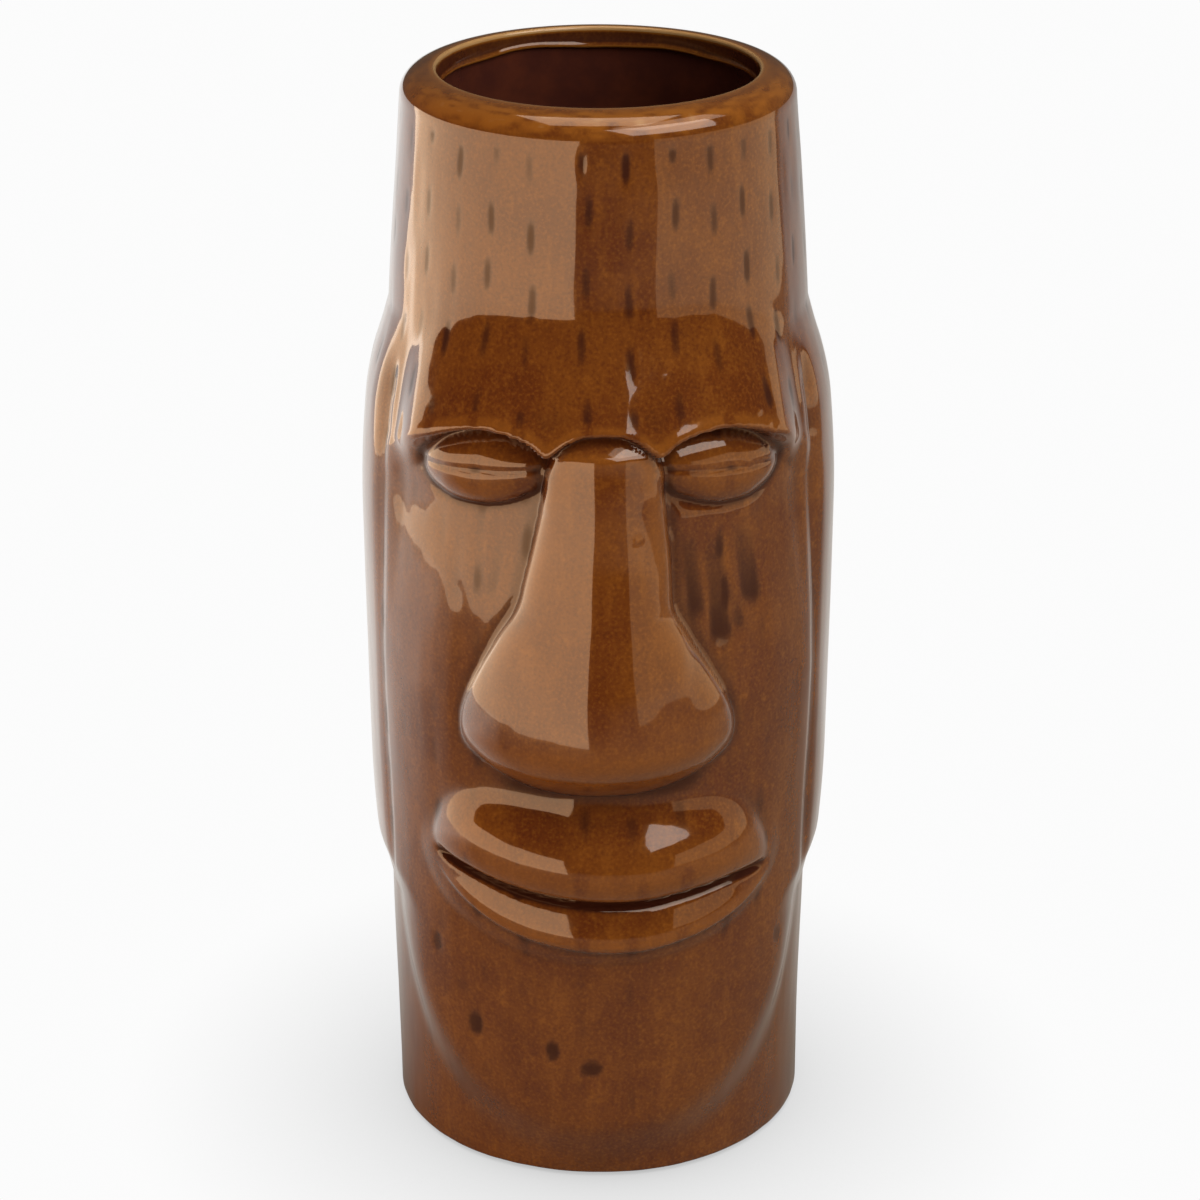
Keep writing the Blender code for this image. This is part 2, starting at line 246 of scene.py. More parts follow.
def eye_spot(angle, z):
    """Where a point is on the eye: across and up as shares of the lids' size, and height over the slit."""
    side = np.abs(angle - FEATURE_SHIFT)
    across = (side - EYE_CENTRE) / EYE_HALF_ANGLE
    rise = z - EYE_SLIT + EYE_SLIT_SLOPE * (side - EYE_CENTRE)
    up = rise / np.where(rise > 0, EYE_UPPER, EYE_LOWER)
    return across, up, rise


def eye(angle, z):
    """The dome that both closed lids make."""
    across, up, _ = eye_spot(angle, z)
    return EYE_PROUD * np.clip(1 - (across ** 2 + up ** 2) ** 1.5, 0, 1)


def slits(angle, z):
    """The line between the lids, 0 to 1."""
    across, _, rise = eye_spot(angle, z)
    return bell(rise, 0.5) * (1 - ease(0.8, 0.97, np.abs(across)))


def nose(angle, z, cheek):
    """How far a straight ridge with steep sides stands over the cheek; it turns under at the nostrils."""
    off = (angle - FEATURE_SHIFT) * DEGREE
    side = np.abs(angle - curve(z, NOSE_LEAN)) / curve(z, NOSE_HALF)
    flank = np.hypot(RIDGE_ROUND, RIDGE_SLOPE * off) - RIDGE_ROUND
    wall = np.clip(1 - side ** 7, 0, 1) ** 0.7
    sag = NOSTRIL_SAG * np.clip(side, 0, 1) ** 3
    below = np.clip((NOSE_TURN - z) / (NOSE_TURN - NOSE_UNDER - sag), 0, 1)
    under = (1 - below ** 1.7) ** 0.8
    top = np.sqrt(np.clip((NOSE_TOP - z) / NOSE_TOP_ROUND, 0, 1))
    return np.clip(curve(z, NOSE_PROUD) - flank - cheek, 0, None) * wall * under * top


def muzzle(angle, z):
    """The oval that carries both lips, the lips on it and the line between them."""
    side = np.abs(angle - FEATURE_SHIFT)
    line = curve(angle, MOUTH_LINE)
    edge = (side / MUZZLE_ANGLE) ** 2 + ((z - MUZZLE_CENTRE) / MUZZLE_HALF) ** 2
    crisp = np.clip(1 - edge ** 2, 0, 1) ** 0.8
    oval = MUZZLE_PROUD * (crisp + (crisp ** 3 - crisp) * ease(56, 68, z))
    width = np.clip(1 - (side / LIP_ANGLE) ** 3.4, 0, 1)
    lip_top = LIP_HEIGHT * np.sqrt(np.clip(1 - (side / LIP_ANGLE) ** 4, 1e-3, 1))
    upper = curve((z - line) / lip_top, UPPER_LIP) * (z > line)
    lower = curve((line - z) / (1 + LIP_DEPTH * width), LOWER_LIP) * (z <= line)
    groove = MOUTH_GROOVE * bell(z - line - 0.25, 0.85) * (1 - ease(38, 46, side))
    return join(oval, (upper + lower) * width, 0.4) - groove


def outer_radius(angle, z):
    """Radius of the glazed surface of the head, in mm."""
    plain = curve(z, COLUMN) + ear(angle, z) + face_plate(angle, z)
    cheek = socket(angle, z) + eye(angle, z)
    return plain + cheek + join(nose(angle, z, cheek), muzzle(angle, z), 0.5)


def inner_radius(angle, z):
    """Radius of the clay's inside, which follows the head softly as slip does in a mould."""
    side = np.abs(angle)
    behind_nose = 4.5 * bell(side, 24) * ease(56, 84, z) * (1 - ease(84, 128, z))
    behind_face = 1.4 * (1 - ease(40, 70, side)) * ease(8, 24, z) * (1 - ease(120, 150, z))
    body = curve(z, COLUMN) - WALL + behind_face
    neck = MOUTH_RADIUS + LINER_COAT
    return neck + (body + behind_nose - neck) * (1 - ease(166, 177, z))


# Fine marks

DASH_STEP = 11.9
DASH_DROP = 9.7
DASH_DEPTH = 0.05
DASH_START = -3.4
DASH_TOP = 174.3
DASH_STAGGER = 2.4
DASH_ROWS = 17
DASH_SIZE = (2.2, 6.6)

# No dashes on the nose and between the eyes: within these degrees of the middle, above this height
BARE_FACE = 24
BARE_CHIN = 72

# Each gouge is angle, top, bottom, width, lean and depth
GOUGES = (
    (23.6, 118.0, 101.0, 4.2, 0.10, 0.20), (29.8, 118.5, 96.0, 5.6, 0.10, 0.26),
    (35.2, 107.5, 97.0, 4.2, 0.10, 0.20), (38.8, 118.0, 101.0, 6.0, 0.12, 0.26),
    (-37.0, 115.0, 102.0, 3.0, 0.06, 0.10), (-30.4, 117.0, 104.0, 3.2, 0.07, 0.14),
    (-25.4, 117.0, 104.0, 3.2, -0.16, 0.14),
)
# Each pit is angle, height, width, length and depth
PITS = (
    (-44.2, 40.4, 2.5, 4.2, 0.20), (-36.1, 34.0, 2.8, 3.6, 0.12), (-32.6, 27.6, 3.0, 5.2, 0.24),
    (-11.4, 25.3, 2.7, 4.5, 0.26), (-1.6, 22.4, 4.2, 3.4, 0.26), (51.6, 39.7, 2.4, 4.0, 0.20),
)
# Each bubble is angle, height and radius
BUBBLES = (
    (36.5, 134.5, 0.5), (40.2, 133.4, 0.6), (42.6, 131.0, 0.5), (44.3, 129.6, 0.7), (38.5, 124.9, 0.7),
    (46.5, 126.2, 0.5), (8.6, 116.5, 0.5), (27.5, 113.0, 0.4), (41.0, 136.6, 0.4), (17.0, 140.0, 0.4),
)
BUBBLE_RISE = 0.22


def shake(a, b, seed):
    """A repeatable number from -1 to 1 for each pair of counts."""
    wave = np.sin(a * 12.9898 + b * 78.233 + seed * 37.719) * 43758.5453
    return 2 * (wave - np.floor(wave)) - 1


def ripple(angle, z, around, height, seed):
    """Smooth random waves, -1 to 1: so many cells around the cup, each so many mm tall."""
    u = (angle / 360.0 % 1.0) * around
    v = z / height
    column, row = np.floor(u), np.floor(v)
    s, t = ease(0, 1, u - column), ease(0, 1, v - row)
    beside = (column + 1) % around
    low = shake(column, row, seed) * (1 - s) + shake(beside, row, seed) * s
    high = shake(column, row + 1, seed) * (1 - s) + shake(beside, row + 1, seed) * s
    return low * (1 - t) + high * t


def stroke(angle, z, at_angle, at_z, size, lean):
    """The depth, 0 to 1, of a short gouge with rounded ends; its width and length are in mm."""
    width, length = size
    away = (angle - at_angle + 180) % 360 - 180
    across = away * DEGREE - lean * (at_z - z)
    along = np.abs(z - at_z) / (length / 2)
    return np.clip(1 - (across / (width / 2)) ** 2 - along ** 3, 0, 1)


def dashes(angle, z):
    """Staggered tool marks all round the upper head, and fainter ones down the cheeks and chin."""
    depth = np.zeros_like(angle)
    for column in range(round(360 / DASH_STEP)):
        late = DASH_STAGGER if column % 2 else 0.0
        for row in range(DASH_ROWS):
            mark_z = DASH_TOP - DASH_DROP * row - late + 1.0 * shake(column, row, 1)
            mark_at = DASH_START + DASH_STEP * column + 1.2 * shake(column, row, 2)
            faint = 1.0 if row < 3 else 0.75 if row < 5 else 0.4
            strength = DASH_DEPTH * faint * (1 + 0.3 * shake(column, row, 3))
            if row > 4 and abs(mark_at - FEATURE_SHIFT) < BARE_FACE and mark_z > BARE_CHIN:
                continue
            lean = 0.06 * shake(column, row, 4)
            depth += strength * stroke(angle, z, mark_at, mark_z, DASH_SIZE, lean)
    return depth * (1 - ease(174.0, 175.6, z))


def gouges(angle, z):
    """Chisel marks pulled down the cheeks, shallow where they start and deepest just before they stop."""
    depth = np.zeros_like(angle)
    for at_angle, top, bottom, width, lean, deep in GOUGES:
        across = (angle - at_angle) * DEGREE - lean * (top - z) + 0.5 * lean * (top - bottom)
        share = np.clip(np.abs(across) / (width / 2), 0, 1)
        fall = np.clip((top - z) / (top - bottom), 0, 1)
        along = (0.35 + 0.65 * fall) * ease(0, 0.35, fall) * ease(bottom - 2.0, bottom + 2.6, z)
        depth = np.maximum(depth, deep * ease(0, 1.0, 1 - share ** 2) * along)
    return depth


def pits(angle, z):
    """Soft-edged dents on the chin."""
    depth = np.zeros_like(angle)
    for at_angle, at_z, width, length, deep in PITS:
        away = np.hypot((angle - at_angle) * DEGREE / (width * 0.62), (z - at_z) / (length * 0.62))
        depth += 0.5 * deep * ease(0, 0.9, 1 - away ** 2)
    return depth


def facet(angle, z):
    """A shallow tool line down the nose's right flank."""
    at = 8.3 + (129 - z) * 0.165
    return 0.12 * bell((angle - at) * DEGREE, 0.8) * ease(103, 108, z) * (1 - ease(124, 129, z))


def worn_cheek(angle, z):
    """The patch with the deepest chisel marks stands more upright than the cheek around it."""
    patch = ease(17, 23, angle) * (1 - ease(40, 47, angle)) * ease(86, 101, z) * (1 - ease(117, 121, z))
    return 0.05 * (z - 110.0) * patch


def bubbles(angle, z):
    """Small blisters in the glaze."""
    rise = np.zeros_like(angle)
    for at_angle, at_z, size in BUBBLES:
        away = np.hypot((angle - at_angle) * DEGREE, z - at_z) / size
        rise += BUBBLE_RISE * np.clip(1 - away ** 2, 0, 1)
    return rise


def outlines(angle, z):
    """Incised lines round the eyes, down the sides of the nose and above its wings."""
    across, up, _ = eye_spot(angle, z)
    around = np.sqrt(across ** 2 + up ** 2)
    lids = 0.14 * bell((around - 1.05) * EYE_UPPER, 0.7) + 0.2 * slits(angle, z)
    side = np.abs(angle - curve(z, NOSE_LEAN))
    off_nose = (side - curve(z, NOSE_HALF) * 1.02) * DEGREE
    beside = 0.15 * bell(off_nose, 0.8) * ease(80, 90, z) * (1 - ease(126, 130, z))
    out, over = (side - 16.2) * DEGREE, z - 102.0
    along = np.abs(0.78 * out - 0.62 * over)
    crease = 0.10 * bell(0.62 * out + 0.78 * over, 0.9) * (1 - ease(1.6, 3.4, along))
    return -(lids + beside + crease)


def painted_crease_shade(angle, z):
    """Painted shade under the brow and the nose, round the lids and between the lips, added to the glaze
    that runs together there.
    """
    across, up, _ = eye_spot(angle, z)
    side = np.abs(angle - FEATURE_SHIFT)
    # Each of these is painted shade: along the brow's edge, round the lids, in the mouth line and under the
    # nose.
    brow = bell(z - curve(side, BROW_LINE) - 0.1, 0.6) * (1 - ease(44, 54, side))
    lids = bell((np.sqrt(across ** 2 + up ** 2) - 1.02) * EYE_UPPER, 0.5)
    mouth = 2.4 * bell(z - curve(angle, MOUTH_LINE) + 0.1, 1.2) * (1 - ease(38, 45, side))
    nostrils = 0.8 * ease(71, 73, z) * (1 - ease(75, 80, z)) * (1 - ease(20, 27, side))
    return np.maximum(np.maximum(brow, lids), np.maximum(mouth, nostrils))


def chisel(angle, z):
    """Slight unevenness of a carved surface: tall facets, small ones and broad swells."""
    tall = 0.04 * ripple(angle, z, 92, 15.0, 5) + 0.012 * ripple(angle, z, 170, 7.0, 6)
    broad = 0.13 * ripple(angle, z, 18, 22.0, 7)
    return (tall + broad) * (1 - ease(166, 175, z))


def detailed_radius(angle, z):
    """Radius of the glazed surface with every fine mark on it, in mm."""
    cut = dashes(angle, z) + gouges(angle, z) + pits(angle, z) + facet(angle, z) - worn_cheek(angle, z)
    return outer_radius(angle, z) - cut + outlines(angle, z) + chisel(angle, z) + bubbles(angle, z)


# Meshes are grids of points: one row for each ring around the axis, one column for each direction

def steps(parts):
    """Levels from (start, stop, step) stretches, without the last stop's double."""
    levels = [np.arange(start, stop, step) for start, stop, step in parts]
    return np.concatenate(levels + [[parts[-1][1]]])


# Directions and heights of the detailed grid, finer where the features are, and directions of the round one
FRONT = steps([(0, 66, 0.8), (66, 180, 1.6)])
ANGLES = np.concatenate([-FRONT[-2:0:-1], FRONT])
LEVELS = steps([
    (GLAZE_LINE + 0.2, 38, 1.2), (38, 76, 0.45), (76, 116, 0.8), (116, 134, 0.45), (134, SHOULDER, 1.0),
])
ROUND_STEP = 4.5
ROUND = np.arange(-180 + ROUND_STEP, 180.1, ROUND_STEP)


def soften(surface, angles, levels, reach):
    """A surface blurred over a distance in mm, around and along the cup."""
    turn = np.abs(angles[:, None] - angles[None, :])
    turn = np.minimum(turn, 360 - turn) * DEGREE
    across = bell(turn, reach)
    along = bell(levels[:, None] - levels[None, :], reach)
    across /= across.sum(axis=1, keepdims=True)
    along /= along.sum(axis=1, keepdims=True)
    return along @ surface @ across.T


class Rings:
    """Rings of points in order round a closed section, with how deep the glaze pools on each, and the
    painted shade and light on it.
    """

    def __init__(self, angles):
        self.angles = angles
        self.radius = []
        self.height = []
        self.pool = []

    def add(self, radius, z, pool=0.0):
        for column, value in ((self.radius, radius), (self.height, z), (self.pool, pool)):
            column.append(np.zeros(self.angles.shape) + value)


def ring_points(rings):
    """The points of all rings in metres, their pools with painted shade and light, and each ring's first
    point; radius 0 is one point.
    """
    around = np.radians(rings.angles)
    points, pools_and_shading, starts, tips = [], [], [], []
    for radius, z, pool in zip(rings.radius, rings.height, rings.pool):
        starts.append(len(points))
        tips.append(bool(np.max(radius) == 0))
        if tips[-1]:
            points.append((0.0, AXIS_Y, float(z[0]) * MM))
            pools_and_shading.append(float(pool[0]))
            continue
        x = radius * np.sin(around) * MM
        y = AXIS_Y - radius * np.cos(around) * MM
        points.extend(zip(x.tolist(), y.tolist(), (z * MM).tolist()))
        pools_and_shading.extend(pool.tolist())
    return points, pools_and_shading, starts, tips


def ring_faces(starts, tips, count):
    """Faces from each ring to the next, and from the last ring back to the first."""
    faces = []
    for index in range(len(starts)):
        after = (index + 1) % len(starts)
        low, high = starts[index], starts[after]
        if tips[index] and tips[after]:
            continue
        for i in range(count):
            j = (i + 1) % count
            if tips[index]:
                faces.append((low, high + j, high + i))
            elif tips[after]:
                faces.append((low + i, low + j, high))
            else:
                faces.append((low + i, low + j, high + j, high + i))
    return faces


def closed_piece(name, rings, material, node):
    """A closed mesh through rings around the cup's axis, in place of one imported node."""
    points, pools_and_shading, starts, tips = ring_points(rings)
    mesh = bpy.data.meshes.new(name)
    mesh.from_pydata(points, [], ring_faces(starts, tips, len(rings.angles)))
    shape = bmesh.new()
    shape.from_mesh(mesh)
    bmesh.ops.recalc_face_normals(shape, faces=shape.faces)
    shape.to_mesh(mesh)
    shape.free()
    mesh.attributes.new("pool", "FLOAT", "POINT").data.foreach_set("value", pools_and_shading)
    mesh.shade_smooth()
    mesh.materials.append(material)
    piece = bpy.data.objects.new(name, mesh)
    bpy.context.scene.collection.objects.link(piece)
    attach(piece, "root")
    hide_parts(node)


# Materials

class Tree:
    """Short ways to wire a tree of shader nodes."""

    def __init__(self, tree):
        self.tree = tree
        self.nodes = tree.nodes

    def add(self, kind, **values):
        node = self.nodes.new(kind)
        for key, value in values.items():
            setattr(node, key, value)
        return node

    def link(self, source, target):
        self.tree.links.new(source, target)

    def feed(self, target, value):
        """Sets an input to a number or a colour, or links it to another node's output."""
        if isinstance(value, tuple):
            target.default_value = (*value, 1.0)
        elif isinstance(value, float):
            target.default_value = value
        else:
            self.link(value, target)

    def ramp(self, source, low, high, start=0.0, end=1.0, shape="SMOOTHSTEP"):
        """A number carried from low..high to start..end, and held past both."""
        node = self.add("ShaderNodeMapRange", interpolation_type=shape)
        for key, value in zip(("From Min", "From Max", "To Min", "To Max"), (low, high, start, end)):
            node.inputs[key].default_value = value
        self.link(source, node.inputs["Value"])
        return node.outputs["Result"]

    def line(self, source, low, high, start=0.0, end=1.0):
        """The same in a straight line."""
        return self.ramp(source, low, high, start, end, "LINEAR")

    def math(self, operation, *values):
        node = self.add("ShaderNodeMath", operation=operation)
        for target, value in zip(node.inputs, values):
            self.feed(target, value)
        return node.outputs["Value"]

    def seen_or_lit(self, seen, lit, output):
        """One shader for what the camera sees and another for what the mug sees and reflects."""
        path = self.add("ShaderNodeLightPath")
        mix = self.add("ShaderNodeMixShader")
        self.link(path.outputs["Is Camera Ray"], mix.inputs["Fac"])
        self.link(lit, mix.inputs[1])
        self.link(seen, mix.inputs[2])
        self.link(mix.outputs["Shader"], output.inputs["Surface"])


class Material(Tree):
    """A material made from noise in the object's own space."""

    def __init__(self, name):
        self.material = bpy.data.materials.new(name)
        self.material.use_nodes = True
        super().__init__(self.material.node_tree)
        self.shader = self.nodes["Principled BSDF"]
        self.place = self.add("ShaderNodeTexCoord").outputs["Object"]

    def set(self, **values):
        for key, value in values.items():
            self.shader.inputs[key.replace("_", " ")].default_value = value

    def drive(self, name, source):
        self.link(source, self.shader.inputs[name])

    def stretched(self, x, y, z):
        node = self.add("ShaderNodeMapping")
        node.inputs["Scale"].default_value = (x, y, z)
        self.link(self.place, node.inputs["Vector"])
        return node.outputs["Vector"]

    def noise(self, scale, detail, rough, place=None):
        node = self.add("ShaderNodeTexNoise")
        node.inputs["Scale"].default_value = scale
        node.inputs["Detail"].default_value = detail
        node.inputs["Roughness"].default_value = rough
        self.link(place or self.place, node.inputs["Vector"])
        return node.outputs["Fac"]

    def mix(self, share, first, second):
        node = self.add("ShaderNodeMix", data_type="RGBA")
        for target, value in ((node.inputs[0], share), (node.inputs[6], first), (node.inputs[7], second)):
            self.feed(target, value)
        return node.outputs[2]

    def pool(self):
        return self.add("ShaderNodeAttribute", attribute_name="pool").outputs["Fac"]

    def bump(self, source, depth):
        node = self.add("ShaderNodeBump")
        node.inputs["Distance"].default_value = depth
        self.link(source, node.inputs["Height"])
        self.drive("Normal", node.outputs["Normal"])


GLAZE_BROWN = (0.202, 0.059, 0.0090)
GLAZE_AMBER = (0.36, 0.122, 0.016)
GLAZE_THIN = (0.60, 0.34, 0.13)
GLAZE_POOLED_AND_SHADE = (0.042, 0.0105, 0.0075)
GLAZE_DEEP = (0.150, 0.038, 0.0075)
GLAZE_SHEEN = (1.0, 0.62, 0.30, 1.0)
LINER_DARK = (0.085, 0.022, 0.014)
LINER_RED = (0.13, 0.032, 0.015)
BASE_BROWN = (0.10, 0.027, 0.007)
BASE_DARK = (0.055, 0.013, 0.005)
CLAY_PALE = (0.52, 0.40, 0.28)
CLAY_BUFF = (0.42, 0.29, 0.18)
CLAY_SPECK = (0.25, 0.16, 0.10)


def brown_glaze():
    """Runny brown glaze: amber where it is thin and where light is painted on the rim's front, nearly black
    where it pools and where shade is painted, mottled between.
    """
    glaze = Material("brown glaze")
    mottle = glaze.noise(420.0, 4.0, 0.6)
    grain = glaze.noise(1900.0, 2.0, 0.5)
    cloud = glaze.noise(95.0, 3.0, 0.5)
    run = glaze.noise(1.0, 3.0, 0.6, glaze.stretched(330.0, 330.0, 70.0))
    colour = glaze.mix(glaze.ramp(cloud, 0.38, 0.66), GLAZE_BROWN, GLAZE_DEEP)
    colour = glaze.mix(glaze.ramp(mottle, 0.56, 0.74, 0.0, 0.35), colour, GLAZE_AMBER)
    colour = glaze.mix(glaze.ramp(run, 0.30, 0.52, 0.50, 0.0), colour, GLAZE_DEEP)
    colour = glaze.mix(glaze.ramp(run, 0.54, 0.74, 0.0, 0.28), colour, GLAZE_AMBER)
    colour = glaze.mix(glaze.ramp(grain, 0.50, 0.72, 0.0, 0.30), colour, GLAZE_AMBER)
    colour = glaze.mix(glaze.ramp(grain, 0.28, 0.50, 0.30, 0.0), colour, GLAZE_POOLED_AND_SHADE)
    # The pool attribute also carries painted light on the rim's front, which comes out amber, and painted
    # shade and a painted dark reflection, which come out nearly black.
    pool = glaze.pool()
    colour = glaze.mix(glaze.ramp(pool, -0.26, -0.03, 0.8, 0.0), colour, GLAZE_AMBER)
    colour = glaze.mix(glaze.ramp(pool, -0.50, -0.30, 0.9, 0.0), colour, GLAZE_THIN)
    colour = glaze.mix(glaze.ramp(pool, 0.03, 0.26, 0.0, 0.9), colour, GLAZE_POOLED_AND_SHADE)
    glaze.drive("Base Color", colour)
    glaze.drive("Roughness", glaze.ramp(mottle, 0.3, 0.8, 0.08, 0.13))
    glaze.set(IOR=1.45, Specular_Tint=GLAZE_SHEEN, Coat_Roughness=0.03, Coat_IOR=1.5)
    glaze.drive("Coat Weight", glaze.ramp(pool, 0.10, 0.30, 1.0, 0.3))
    glaze.bump(glaze.noise(260.0, 2.0, 0.5), 0.00003)
    return glaze.material


def liner_glaze():
    """Dark, reddish glaze on the inside of the cup."""
    glaze = Material("liner glaze")
    cloud = glaze.noise(120.0, 4.0, 0.6)
    glaze.drive("Base Color", glaze.mix(glaze.ramp(cloud, 0.35, 0.7), LINER_DARK, LINER_RED))
    glaze.drive("Roughness", glaze.ramp(cloud, 0.3, 0.7, 0.10, 0.18))
    glaze.set(IOR=1.5, Coat_Weight=0.4, Coat_Roughness=0.04)
    glaze.bump(glaze.noise(180.0, 3.0, 0.5), 0.00006)
    return glaze.material


def base_glaze():
    """Glaze on the disc under the floor."""
    glaze = Material("base glaze")
    cloud = glaze.noise(110.0, 4.0, 0.6)
    glaze.drive("Base Color", glaze.mix(glaze.ramp(cloud, 0.35, 0.7), BASE_BROWN, BASE_DARK))
    glaze.drive("Roughness", glaze.ramp(cloud, 0.3, 0.7, 0.12, 0.2))
    glaze.set(IOR=1.5, Coat_Weight=0.6, Coat_Roughness=0.04)
    glaze.bump(glaze.noise(200.0, 3.0, 0.5), 0.00008)
    return glaze.material


def buff_clay():
    """Bare fired clay with darker specks."""
    clay = Material("buff clay")
    grain = clay.noise(900.0, 5.0, 0.7)
    cloud = clay.noise(90.0, 3.0, 0.5)
    colour = clay.mix(clay.ramp(cloud, 0.35, 0.7), CLAY_PALE, CLAY_BUFF)
    colour = clay.mix(clay.ramp(grain, 0.55, 0.8, 0.0, 0.5), colour, CLAY_SPECK)
    clay.drive("Base Color", colour)
    clay.set(Roughness=0.82, IOR=1.45)
    clay.bump(grain, 0.00012)
    return clay.material


# Pieces

POOL_LIMIT = 0.15

# Hidden faces, mm: inside the plain column, and behind the liner's face
GLAZE_BACK = 1.3
CLAY_FRONT = 1.9
LINER_BACK = 0.3
CLAY_BACK = 0.6
CLAY_FLOOR_DROP = 0.2

# The liner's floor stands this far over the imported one's underside, and rounds up into the wall
LINER_FLOOR = 0.5
CORNER_REACH = 6.0
CORNER_RISE = 5.5

# The clay's foot from the recess out and up under the glaze, (radius, height)
FOOT_SECTION = (
    (FOOT_INNER + 0.1, 0.35), (FOOT_INNER + 0.5, 0.0), (FOOT_OUTER - 0.3, 0.0), (FOOT_OUTER + 0.2, 0.12),
    (33.3, 0.5), (33.6, 0.9), (33.0, 1.3), (32.4, 2.0),
)

# The outer glaze's rounded lower edge: how far it stands in, its height over the glaze line, its pool
FOOT_EDGE = ((1.2, 0.3, 0.0), (0.75, -0.12, 0.1), (0.35, -0.2, 0.1), (0.08, -0.08, 0.05))

# The outer glaze's thick edge inside the mouth: how far it stands in, its height over the edge, its pool
FOLD_EDGE = (
    (0.05, 0.8, 0.20), (0.22, 0.45, 0.05), (0.38, 0.15, -0.22), (0.34, -0.12, -0.22), (0.10, -0.26, -0.1),
    (-0.25, -0.22, 0.0),
)


def glaze_pool_and_shading(angle, z, radius):
    """How thick the glaze lies, with painted shade added: below 0 where it runs thin over edges, above 0
    where it collects, where shade is painted in the slits and creases, and where a dark reflection is
    painted in the gouges.
    """
    relief = radius - curve(z, COLUMN)
    fine_pool = soften(relief, ANGLES, LEVELS, 1.6) - relief
    wide_pool = soften(relief, ANGLES, LEVELS, 4.0) - relief
    pool = 0.8 * fine_pool + 0.15 * wide_pool * ease(44, 54, z)
    pool = POOL_LIMIT * np.tanh(pool / POOL_LIMIT)
    pool = np.where(pool < 0, pool * (1 - 0.7 * ease(58, 66, np.abs(angle))), pool)
    # Painted shade in the slit between the lids, and a painted dark reflection in the gouges, over the glaze
    # pooled in them; the dashes and pits are darkened as glaze pooled in the marks.
    pool += 0.10 * slits(angle, z) + 4.4 * dashes(angle, z) + 0.80 * gouges(angle, z) + 1.6 * pits(angle, z)
    # Painted shade under the brow and the nose, round the lids and in the mouth line; the ripple near the
    # foot is uneven glaze.
    pool += 0.11 * painted_crease_shade(angle, z) + 0.12 * ripple(angle, z, 26, 5.0, 31) * (1 - ease(2, 8, z))
    return pool


def add_rim(rings, crest):
    """The rounded shoulder and the flat land of the rim, with glaze thin and flecked on its edge, and the
    flecks painted lighter towards the lit front.
    """
    land = MOUTH_RADIUS + LIP_ROUND
    # Painted light: the flecked, thin glaze on the edge grows stronger towards the front of the rim, where
    # the light falls.
    front = ease(-0.3, 0.9, np.cos(np.radians(ANGLES)))
    for turn in np.radians(np.arange(7.5, 91, 7.5)):
        out, up = np.cos(turn) ** (2 / SHOULDER_FULLNESS), np.sin(turn) ** (2 / SHOULDER_FULLNESS)
        flecks = 1 + 1.2 * ripple(ANGLES, 60 * turn, 90, 9.0, 21)
        edge = 0.17 * np.sin(2 * turn) * flecks * (0.3 + 0.7 * front)
        thin = -0.05 - edge - 0.35 * ease(80, 90, np.degrees(turn))
        rings.add(land + (crest - land) * out, SHOULDER + SHOULDER_DROP * up, thin)
    for turn in np.radians(np.arange(18, 91, 18)):
        rings.add(land - LIP_ROUND * np.sin(turn), HEIGHT - LIP_ROUND * (1 - np.cos(turn)), -0.55)


def build_exterior():
    """The brown coat: up the outside, over the rim, down to the fold inside the mouth, back behind."""
    rings = Rings(ANGLES)
    angle, z = np.meshgrid(ANGLES, LEVELS)
    radius = detailed_radius(angle, z)
    pool = glaze_pool_and_shading(angle, z, radius)
    for inset, rise, depth in FOOT_EDGE:
        rings.add(radius[0] - inset, GLAZE_LINE + rise, depth)
    for row in range(len(LEVELS)):
        rings.add(radius[row], LEVELS[row], pool[row])
    add_rim(rings, radius[-1])
    waves = 0.35 * ripple(ANGLES, 0, 14, 1.0, 9) + 0.15 * ripple(ANGLES, 0, 37, 1.0, 8)
    rings.add(MOUTH_RADIUS - 0.02, HEIGHT - 1.0, 0.16)
    for inset, rise, depth in FOLD_EDGE:
        rings.add(MOUTH_RADIUS - inset, HEIGHT - LIP_FOLD + waves + rise, depth)
    rings.add(MOUTH_RADIUS + 0.25, HEIGHT - 1.0)
    for level in np.linspace(SHOULDER, GLAZE_LINE + 2.0, 14):
        rings.add(curve(level, COLUMN) - GLAZE_BACK, level)
    closed_piece("exterior_glaze_coat", rings, brown_glaze(), "exterior_glaze")


def liner_radius(z, behind):
    """Radius at a height, this far behind the face of the liner that is seen."""
    neck = MOUTH_RADIUS + 0.30 + behind
    wall = inner_radius(ROUND, z) - LINER_COAT + behind + 0.12 * ripple(ROUND, z, 16, 24.0, 12)
    return neck + (wall - neck) * (1 - ease(168, 175.5, z))


def build_liner():
    """The dark coat of the inside: floor, rounded corner and wall, and back behind them."""
    top = FLOOR + LINER_FLOOR
    under = top - LINER_BACK
    rings = Rings(ROUND)
    levels = steps([(FLOOR + CORNER_REACH, 178.4, 3.0)])
    foot = liner_radius(levels[0], 0)
    corner = foot - CORNER_REACH
    rings.add(0, top)
    for share in (0.3, 0.6):
        rings.add(foot * share, top)
    for turn in np.radians(np.arange(0, 90, 15)):
        rings.add(corner + CORNER_REACH * np.sin(turn), top + CORNER_RISE * (1 - np.cos(turn)))
    for level in levels:
        rings.add(liner_radius(level, 0), level)
    for level in levels[::-1]:
        rings.add(liner_radius(level, LINER_BACK), level)
    for turn in np.radians(np.arange(75, -1, -15)):
        out = (CORNER_REACH + LINER_BACK) * np.sin(turn)
        rings.add(corner + out, under + CORNER_RISE * (1 - np.cos(turn)))
    rings.add(0, under)
    closed_piece("liner_glaze_coat", rings, liner_glaze(), "liner_glaze")


